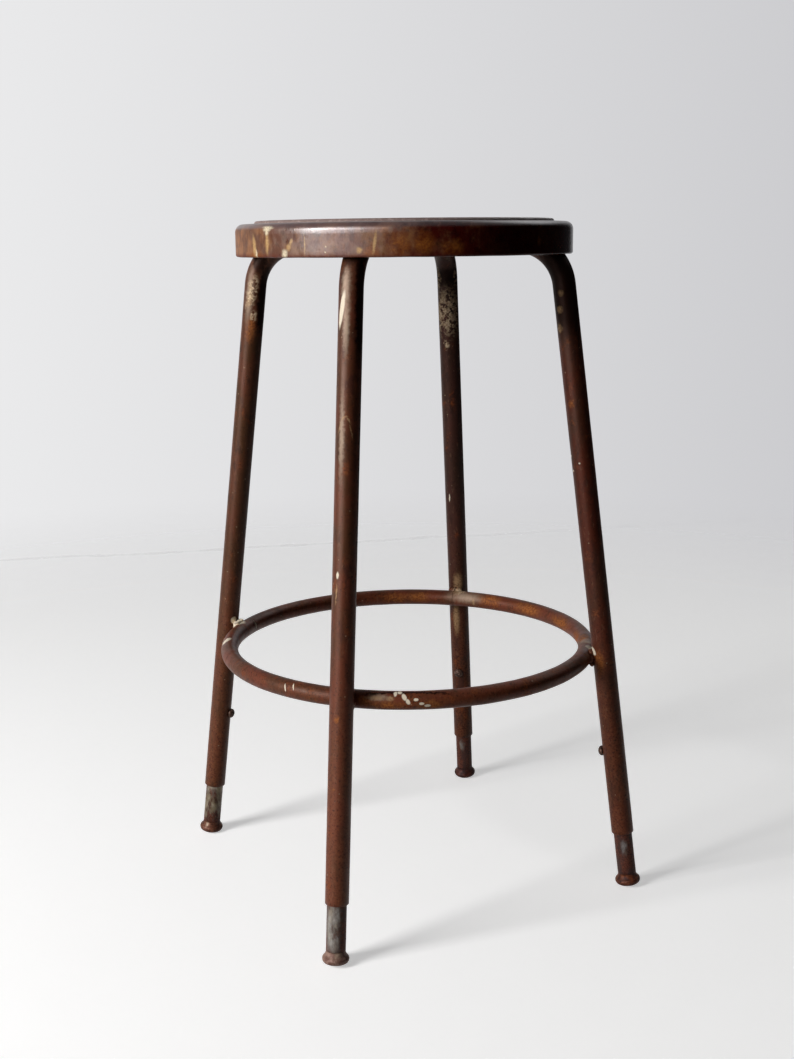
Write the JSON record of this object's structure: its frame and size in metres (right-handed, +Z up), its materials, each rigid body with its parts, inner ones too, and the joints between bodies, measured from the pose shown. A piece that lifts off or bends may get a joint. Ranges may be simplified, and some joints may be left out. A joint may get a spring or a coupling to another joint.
{
  "type": "stool",
  "caption": "Workshop stool with a round pressed-steel seat, splayed tube legs, a footrest ring and telescoping feet clamped by lock screws.",
  "frame": {"origin": "on the floor under the middle of the seat", "axes": "+Z up, -Y is the front; the legs stand at 45 degrees to X and Y"},
  "size_m": [0.4176, 0.4176, 0.7226],
  "materials": {
    "seat_paint": "brown enamel over steel, glossy where whole, rusted and dripped on",
    "hardboard": "dark pressed board, worn satin",
    "plate_paint": "dull brown paint",
    "tube_paint": "brown enamel, satin, rusted and scraped",
    "dull_zinc": "dull zinc plate with rust",
    "rusty_steel": "rusted steel worn to a coppery shine",
    "screw_steel": "dark rusted steel"
  },
  "bodies": {
    "frame": {"seat_pan": "seat_paint", "seat_board": "hardboard", "leg_plate": "plate_paint", "footrest_ring": "tube_paint", "plate_washer_right": "dull_zinc", "plate_washer_back": "dull_zinc", "plate_washer_left": "dull_zinc", "plate_washer_front": "dull_zinc", "plate_nut_right": "dull_zinc", "plate_nut_back": "dull_zinc", "plate_nut_left": "dull_zinc", "plate_nut_front": "dull_zinc", "leg_front_right": "tube_paint", "leg_back_right": "tube_paint", "leg_back_left": "tube_paint", "leg_front_left": "tube_paint"},
    "extension_front_right": {"leg_extension_front_right": "dull_zinc", "glide_front_right": "rusty_steel"},
    "extension_back_right": {"leg_extension_back_right": "dull_zinc", "glide_back_right": "rusty_steel"},
    "extension_back_left": {"leg_extension_back_left": "dull_zinc", "glide_back_left": "rusty_steel"},
    "extension_front_left": {"leg_extension_front_left": "dull_zinc", "glide_front_left": "rusty_steel"},
    "lock_front_right": {"lock_screw_front_right": "screw_steel"},
    "lock_back_right": {"lock_screw_back_right": "screw_steel"},
    "lock_back_left": {"lock_screw_back_left": "screw_steel"},
    "lock_front_left": {"lock_screw_front_left": "screw_steel"}
  },
  "joints": [
    {"name": "extension_slide_front_right", "type": "slide", "parent": "frame", "child": "extension_front_right", "axis": [0.0874, -0.0874, -0.9923], "range_m": [-0.046, 0.11]},
    {"name": "extension_slide_back_right", "type": "slide", "parent": "frame", "child": "extension_back_right", "axis": [0.0874, 0.0874, -0.9923], "range_m": [-0.046, 0.11]},
    {"name": "extension_slide_back_left", "type": "slide", "parent": "frame", "child": "extension_back_left", "axis": [-0.0874, 0.0874, -0.9923], "range_m": [-0.046, 0.11]},
    {"name": "extension_slide_front_left", "type": "slide", "parent": "frame", "child": "extension_front_left", "axis": [-0.0874, -0.0874, -0.9923], "range_m": [-0.046, 0.11]},
    {"name": "lock_turn_front_right", "type": "hinge", "parent": "frame", "child": "lock_front_right", "pos_m": [0.16562, -0.16562, 0.15478], "axis": [-0.7017, 0.7017, -0.1236], "range_deg": [0, 450]},
    {"name": "lock_turn_back_right", "type": "hinge", "parent": "frame", "child": "lock_back_right", "pos_m": [0.16562, 0.16562, 0.15478], "axis": [-0.7017, -0.7017, -0.1236], "range_deg": [0, 450]},
    {"name": "lock_turn_back_left", "type": "hinge", "parent": "frame", "child": "lock_back_left", "pos_m": [-0.16562, 0.16562, 0.15478], "axis": [0.7017, -0.7017, -0.1236], "range_deg": [0, 450]},
    {"name": "lock_turn_front_left", "type": "hinge", "parent": "frame", "child": "lock_front_left", "pos_m": [-0.16562, -0.16562, 0.15478], "axis": [0.7017, 0.7017, -0.1236], "range_deg": [0, 450]}
  ]
}
